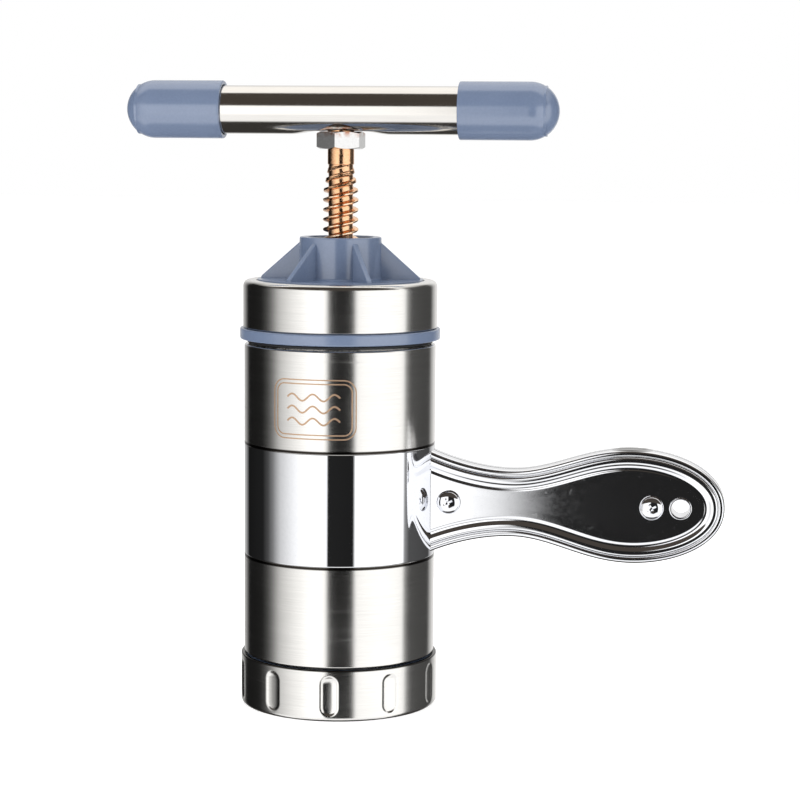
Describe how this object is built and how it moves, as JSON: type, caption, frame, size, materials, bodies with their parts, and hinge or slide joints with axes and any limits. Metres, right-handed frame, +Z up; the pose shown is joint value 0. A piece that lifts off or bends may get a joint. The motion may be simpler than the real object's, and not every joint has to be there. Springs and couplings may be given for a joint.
{
  "type": "cheese press",
  "caption": "Hand screw press for soft food: steel barrel with side handle, T-handle spindle and piston, screw cap, and a screw ring holding a sieve plate.",
  "frame": {"origin": "on the surface that the press stands on, under the middle of the whole press; the barrel's axis stands 28.15 mm to the -X side of it", "axes": "+Z up along the barrel; +X towards the tip of the side handle, with the T-handle's bar along X too; -Y is the front"},
  "size_m": [0.2012, 0.0668, 0.2084],
  "materials": {
    "brushed_skin": "brushed around the barrel",
    "polished_steel": "mirror polished",
    "plain_steel": "turned",
    "copper_plate": "copper-toned plating",
    "blue_plastic": "satin gloss",
    "black_rubber": "matt"
  },
  "bodies": {
    "barrel": {"barrel_tube": "plain_steel", "lower_sleeve": "brushed_skin", "upper_sleeve": "brushed_skin", "handle_strap": "polished_steel", "clamp_screw": "polished_steel", "clamp_nut": "polished_steel", "tip_screw": "polished_steel", "tip_nut": "polished_steel", "hang_eyelet": "polished_steel"},
    "seal": {"cap_seal": "black_rubber"},
    "cap": {"cap_insert": "blue_plastic", "cap_shell": "brushed_skin", "spindle_bush": "plain_steel"},
    "piston": {"piston_face": "plain_steel", "piston_body": "blue_plastic", "piston_seal": "black_rubber"},
    "spindle": {"spindle": "copper_plate", "bar_nut": "polished_steel", "bar_tube": "polished_steel", "left_grip": "blue_plastic", "right_grip": "blue_plastic", "piston_screw": "polished_steel", "thrust_washer": "copper_plate"},
    "sieve": {"sieve_plate": "brushed_skin"},
    "ring": {"ring_shell": "brushed_skin", "ring_insert": "blue_plastic"}
  },
  "joints": [
    {"name": "cap_lift", "type": "slide", "parent": "barrel", "child": "seal", "axis": [0, 0, 1], "range_m": [0, 0.016]},
    {"name": "cap_unscrew", "type": "hinge", "parent": "seal", "child": "cap", "pos_m": [-0.02815, 0, 0.1231], "axis": [0, 0, 1], "range_deg": [0, 1440]},
    {"name": "piston_travel", "type": "slide", "parent": "cap", "child": "piston", "axis": [0, 0, 1], "range_m": [-0.028, 0.09]},
    {"name": "spindle_turn", "type": "hinge", "parent": "piston", "child": "spindle", "pos_m": [-0.02815, 0, 0.157], "axis": [0, 0, 1], "range_deg": [-1550, 4980]},
    {"name": "sieve_drop", "type": "slide", "parent": "barrel", "child": "sieve", "axis": [0, 0, 1], "range_m": [-0.015, 0]},
    {"name": "ring_unscrew", "type": "hinge", "parent": "sieve", "child": "ring", "pos_m": [-0.02815, 0, 0], "axis": [0, 0, 1], "range_deg": [-1350, 0]}
  ],
  "couplings": [
    {"joint": "cap_lift", "follows": "cap_unscrew", "m_per_rad": 0.00063662},
    {"joint": "piston_travel", "follows": "spindle_turn", "m_per_rad": 0.0010345},
    {"joint": "sieve_drop", "follows": "ring_unscrew", "m_per_rad": 0.00063662}
  ]
}
